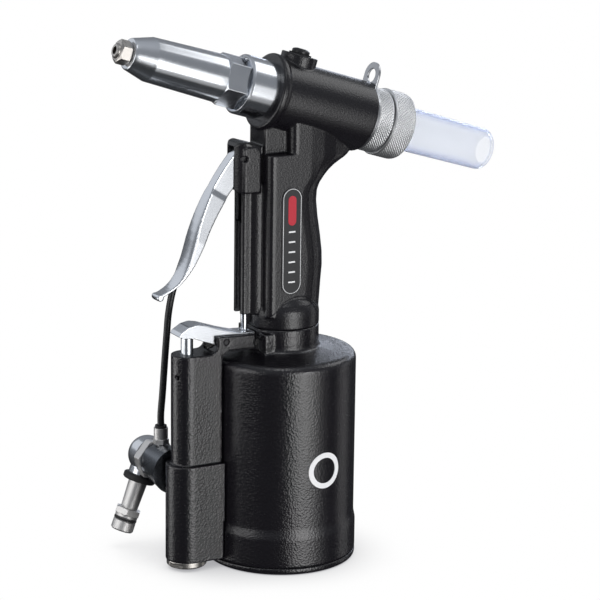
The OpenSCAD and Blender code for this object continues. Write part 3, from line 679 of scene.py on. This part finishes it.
def tube(name, points, radius, slot, body, sides=20, closed=False):
    """A smooth round bar along a path of points."""
    curve = bpy.data.curves.new(name, "CURVE")
    curve.dimensions = "3D"
    spline = curve.splines.new("POLY")
    spline.points.add(len(points) - 1)
    for target, point in zip(spline.points, points):
        target.co = (*point, 1)
    spline.use_cyclic_u = closed
    curve.bevel_depth = radius
    curve.bevel_resolution = max(1, sides // 4 - 1)
    curve.use_fill_caps = True
    holder = link(name + "_curve", curve)
    graph = bpy.context.evaluated_depsgraph_get()
    mesh = bpy.data.meshes.new_from_object(holder.evaluated_get(graph))
    bpy.data.objects.remove(holder)
    piece = link(name, mesh)
    return finish_piece(piece, slot, body)


def smooth_path(points, parts=8):
    """Catmull-Rom curve through the points."""
    pts = [Vector(p) for p in points]
    pts = [pts[0] * 2 - pts[1]] + pts + [pts[-1] * 2 - pts[-2]]
    path = []
    for i in range(1, len(pts) - 2):
        a, b, c, d = pts[i - 1:i + 3]
        for k in range(parts):
            t = k / parts
            path.append(0.5 * (b * 2 + (c - a) * t + (a * 2 - b * 5 + c * 4 - d) * t * t
                               + (b * 3 - a - c * 3 + d) * t * t * t))
    path.append(pts[-2])
    return path


# ---------- the tool's pieces ----------

# Voxel size, rounds of relaxing and piece name of each casting
CASTINGS = {
    "handle_body": (0.00045, 6, "handle_casting"),
    "air_cylinder": (0.00065, 6, "cylinder_casting"),
    "base_cap": (0.00065, 5, "base_cap_casting"),
    "valve_housing": (0.0004, 6, "valve_casting"),
}


def castings():
    for node, (voxel, rounds, name) in CASTINGS.items():
        cast(node, voxel, rounds, name)


LEVER_VOXEL = 0.0003
TRIGGER_ROUNDS = 14
ROCKER_ROUNDS = 5
# How far back the edges of the trigger's face lie from its middle line
TRIGGER_CROWN = 0.0009
TRIGGER_HALF_WIDTH = 0.007


def chrome_levers():
    lever = cast("trigger", LEVER_VOXEL, TRIGGER_ROUNDS, "trigger_lever")
    for vertex in lever.data.vertices:
        vertex.co.x += TRIGGER_CROWN * (vertex.co.y / TRIGGER_HALF_WIDTH) ** 2
    cast("rocker", LEVER_VOXEL, ROCKER_ROUNDS, "rocker_lever")


# Axis, radius of the edges and number of sides of each plain turned part
TURNED_PARTS = {
    "nose_sleeve": (HEAD, 0.0003, 192),
    "mandrel_bottle": (HEAD, 0.0008, 144),
    "valve_stem": (VALVE, 0.0003, 96),
    "swivel_washer": (INLET, 0.0004, 96),
    "inlet_stem": (INLET, 0.0003, 96),
    "coupler_seal": (INLET, 0.0002, 96),
}


def turned_parts():
    for node, (place, edge, around) in TURNED_PARTS.items():
        turned(node, place, edge, around)


def knurled_rings():
    knurled("rear_cap", HEAD, low=0.0536, high=0.0627, count=68, edge=0.0003)
    knurled("collector_nut", HEAD, low=0.0646, high=0.0776, count=72, edge=0.0004)


# Voxel size, in millimetres, of each small part with flats, which rounds its edges to about that radius
FINE_PARTS = {
    "nosepiece": 0.12, "lock_nut": 0.17, "hanger_plate": 0.18, "oil_plug_screw": 0.12, "valve_plug": 0.16,
    "inlet_hex": 0.18, "coupler_plug": 0.14, "line_fitting_lower": 0.12, "line_fitting_upper": 0.14,
}
FINE_ROUNDS = 3


def machined_parts():
    for node, voxel in FINE_PARTS.items():
        cast(node, voxel * MM, FINE_ROUNDS, node + "_part")
    machined("head_collar", 0.0005, segments=3)
    machined("pull_rod", 0.0002)
    machined("inlet_adapter", 0.0004)
    machined("swivel_body", 0.0004)


LINE_POINTS_MM = [
    (-62.5, 30, 77), (-62.5, 30, 84), (-61.5, 30, 95), (-60.6, 30, 107), (-59.7, 30, 119),
    (-58.7, 30, 131), (-57.6, 30, 143), (-55.2, 30, 155), (-51.4, 30, 166), (-47, 30, 177),
    (-42, 30, 188), (-36.5, 30, 199), (-29, 30, 210), (-20, 30, 218.5), (-10, 30, 225.5),
    (0, 30, 233), (8, 30, 240.4), (12, 30, 244.4),
]
LINE_RADIUS = 0.002


def air_line():
    path = smooth_path([Vector(point) * MM for point in LINE_POINTS_MM])
    line = tube("air_line_tube", path, LINE_RADIUS, "line_nylon", "housing")
    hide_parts("air_line")


def spring(node, place, low, high, radius, wire, turns):
    """A coil spring of `turns` turns wound from station `low` to station `high` along the place's axis, riding on
    its node's body.
    """
    steps = 32
    count = turns * steps
    rise = (high - low - 2 * wire) / count
    path = []
    for k in range(count + 1):
        angle = 2 * math.pi * k / steps
        up = low + wire + rise * k
        path.append(place @ Vector((radius * math.cos(angle), radius * math.sin(angle), up)))
    piece = tube(node + "_coil", path, wire, NODE_SLOT[node], NODE_BODY[node], sides=12)
    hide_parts(node)
    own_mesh(piece)


def springs():
    """The springs whose ends move, other than the jaw spring, which gets longer."""
    spring("draw_return_spring", HEAD, low=0.0221, high=0.0449, radius=0.0125, wire=0.0009, turns=5)
    spring("valve_spring", VALVE, low=0.0171, high=0.0439, radius=0.0046, wire=0.0006, turns=8)


# ---------- badge, marks and beads ----------

GRIP_SIDE = 0.0165
BADGE_X = -0.0034
BADGE_LOW, BADGE_HIGH = 0.165, 0.214
BADGE_RADIUS = 0.0064
BADGE_FACE = GRIP_SIDE + 0.0005
# How deep the badge goes into the grip, and its marks into the badge
BADGE_SINK = 0.0004
MARK_SINK = 0.0001
MARK_FACE = BADGE_FACE + 0.00012
BADGE_EDGE = 0.00008
MARK_EDGE = 0.00004
BORDER_INSET = 0.0008
BORDER_RADIUS = 0.00017
BAR_LOW, BAR_HIGH = 0.2012, 0.2132
BAR_RADIUS = 0.0025
TICK_COUNT = 6
TICK_TOP = 0.195
TICK_PITCH = 0.0058
TICK_HALF_WIDTH = 0.0021
TICK_HALF_HEIGHT = 0.00045


def pill(low, high, radius):
    """Closed outline in X and Z of an upright bar with round ends, about the badge's middle line."""
    steps = 14
    turns = [math.pi * k / steps for k in range(steps + 1)]
    top = [(BADGE_X + radius * math.cos(turn), high + radius * math.sin(turn)) for turn in turns]
    bottom = [(BADGE_X - radius * math.cos(turn), low - radius * math.sin(turn)) for turn in turns]
    return top + bottom


def side_slab(name, outline, back, face, slot, edge):
    """Thin slab on the near side of the grip, from depth `back` out to depth `face`, with a small chamfer."""
    cx = sum(x for x, _ in outline) / len(outline)
    cz = sum(z for _, z in outline) / len(outline)
    loops = [(back, 0), (face - edge, 0), (face, edge)]
    verts = []
    for depth, shrink in loops:
        for x, z in outline:
            out = Vector((x - cx, z - cz))
            out -= out.normalized() * shrink
            verts.append((cx + out.x, -depth, cz + out.y))
    count = len(outline)
    faces = [tuple(range(count)), tuple(range(2 * count, 3 * count))]
    for ring in range(len(loops) - 1):
        for i in range(count):
            n = (i + 1) % count
            faces.append((ring * count + i, ring * count + n, (ring + 1) * count + n, (ring + 1) * count + i))
    return new_piece(name, verts, faces, slot, "housing")


def badge():
    """The badge's plate with a white border, a plain red bar and a column of white ticks."""
    outline = pill(BADGE_LOW, BADGE_HIGH, BADGE_RADIUS)
    plate = side_slab("badge_plate", outline, GRIP_SIDE - BADGE_SINK, BADGE_FACE, "badge", BADGE_EDGE)
    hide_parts("grip_badge")
    border = [(x, -BADGE_FACE, z) for x, z in pill(BADGE_LOW, BADGE_HIGH, BADGE_RADIUS - BORDER_INSET)]
    tube("badge_border", border, BORDER_RADIUS, "print_white", "housing", sides=8, closed=True)
    back = BADGE_FACE - MARK_SINK
    bar = pill(BAR_LOW, BAR_HIGH, BAR_RADIUS)
    side_slab("badge_bar", bar, back, MARK_FACE, "badge_mark", MARK_EDGE)
    left, right = BADGE_X - TICK_HALF_WIDTH, BADGE_X + TICK_HALF_WIDTH
    for number in range(TICK_COUNT):
        z = TICK_TOP - number * TICK_PITCH
        low, high = z - TICK_HALF_HEIGHT, z + TICK_HALF_HEIGHT
        tick = [(left, low), (right, low), (right, high), (left, high)]
        side_slab(f"badge_tick_{number + 1}", tick, back, MARK_FACE, "print_white", MARK_EDGE)


CYLINDER_RADIUS = 0.043
# Middle of the ring mark, along the cylinder's skin from its nearest line and up from its foot
MARK_ALONG, MARK_UP = 0.0055, 0.0605
MARK_INNER, MARK_OUTER = 0.0075, 0.0105
# Depth of the ring mark below the cylinder's skin, and its height above it
MARK_DEEP, MARK_HIGH = 0.0002, 0.00016


def cylinder_mark():
    """Plain white ring printed on the near side of the air cylinder."""
    around = 72
    middle = MARK_ALONG / CYLINDER_RADIUS
    low, high = CYLINDER_RADIUS - MARK_DEEP, CYLINDER_RADIUS + MARK_HIGH
    halfway = (MARK_INNER + MARK_OUTER) / 2
    section = [(MARK_INNER, low), (MARK_INNER, high), (halfway, high), (MARK_OUTER, high), (MARK_OUTER, low)]
    verts = []
    for j in range(around):
        turn = 2 * math.pi * j / around
        for reach, depth in section:
            angle = middle + reach * math.cos(turn) / CYLINDER_RADIUS
            up = MARK_UP + reach * math.sin(turn)
            verts.append((depth * math.sin(angle), -depth * math.cos(angle), up))
    faces = ring_faces(len(section), around, closed=True)
    new_piece("cylinder_ring_mark", verts, faces, "print_white", "housing")


def arc(cx, cz, radius, start, end):
    """Points in X and Z along an arc, angles in degrees."""
    steps = 10
    turns = [math.radians(start + (end - start) * k / steps) for k in range(steps + 1)]
    return [(cx + radius * math.cos(a), cz + radius * math.sin(a)) for a in turns]


def smooth_flat(points):
    """A smooth curve in X and Z through the points."""
    return [(p.x, p.z) for p in smooth_path([(x, 0, z) for x, z in points], parts=5)]


ARM_SIDE = 0.0091
BEAD_RADIUS = 0.00035
# Middle lines of the beads in X and Z
GRIP_ARCH = smooth_flat([
    (-0.0163, 0.1466), (-0.0132, 0.1490), (-0.0093, 0.1534), (-0.003, 0.1562), (0.0035, 0.1570),
    (0.009, 0.1548), (0.013, 0.1506), (0.0145, 0.1470),
])
ARM_UNDER = [
    (-0.0222, 0.1279), *arc(-0.0384, 0.1226, 0.0051, 90, 180), (-0.0435, 0.1), (-0.0435, 0.0642),
]
ARM_OVER = [
    (-0.0575, 0.1265), *arc(-0.0504, 0.1316, 0.0051, -90, 0), (-0.0453, 0.136), (-0.0226, 0.1353),
    (-0.0226, 0.1283),
]
# Middle line, distance from the tool's middle plane and slot of each pair of beads
BEADS = {
    "grip_arch": (GRIP_ARCH, GRIP_SIDE, "black_head"),
    "arm_under": (ARM_UNDER, ARM_SIDE, "black_cylinder"),
    "arm_over": (ARM_OVER, ARM_SIDE, "black_cylinder"),
}


def beads():
    """Raised beads where the grip meets its round foot and along the borders of the valve housing's arm."""
    for side, end in ((-1, "near"), (1, "far")):
        for name, (outline, depth, slot) in BEADS.items():
            path = [(x, side * depth, z) for x, z in outline]
            tube(f"{name}_bead_{end}", path, BEAD_RADIUS, slot, "housing", sides=12)


def plain_nodes():
    """CAD nodes that stay as they are get their slot's material."""
    for name, node in frame["nodes"].items():
        node.data.materials.clear()
        node.data.materials.append(MATERIALS[NODE_SLOT[name]])


bpy.context.scene.view_settings.view_transform = "Standard"
add_camera()
add_world()
add_lights()
add_floor()
MATERIALS = make_materials()
castings()
chrome_levers()
turned_parts()
knurled_rings()
machined_parts()
air_line()
springs()
badge()
cylinder_mark()
beads()
plain_nodes()
